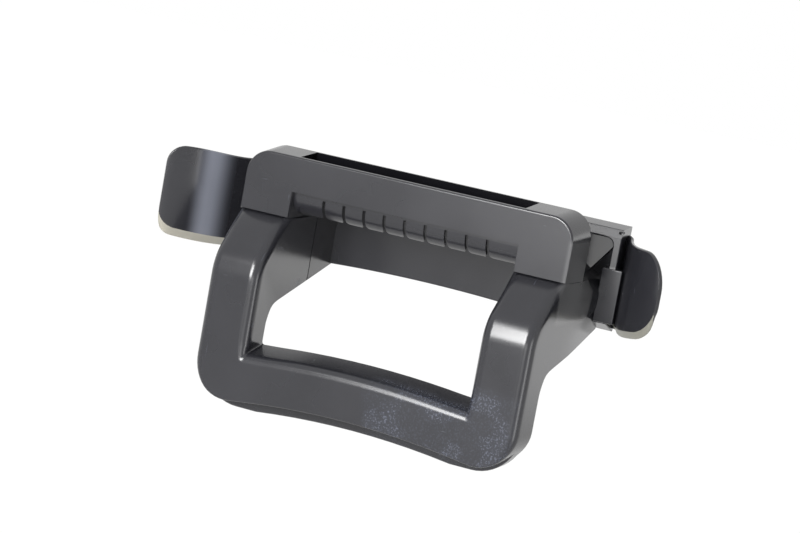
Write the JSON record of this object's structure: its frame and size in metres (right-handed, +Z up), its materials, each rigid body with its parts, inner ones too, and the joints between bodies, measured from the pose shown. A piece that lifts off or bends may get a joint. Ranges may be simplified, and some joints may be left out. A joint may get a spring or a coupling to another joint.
{
  "type": "carry handle",
  "caption": "Dark grey moulded plastic carry handle with a grip loop, a hood over a row of fingers, a rear frame and two curved side wings.",
  "frame": {"origin": "on the middle plane, on the back face of the rear frame, 36 mm below the top of the hood", "axes": "+X to the right along the grip bar, +Y to the back, out of the rear face, +Z up"},
  "size_m": [0.3042, 0.0955, 0.1445],
  "materials": {
    "moulding": "satin, lightly scuffed on the grip"
  },
  "bodies": {
    "root": {"carry_handle": "moulding"}
  },
  "joints": []
}
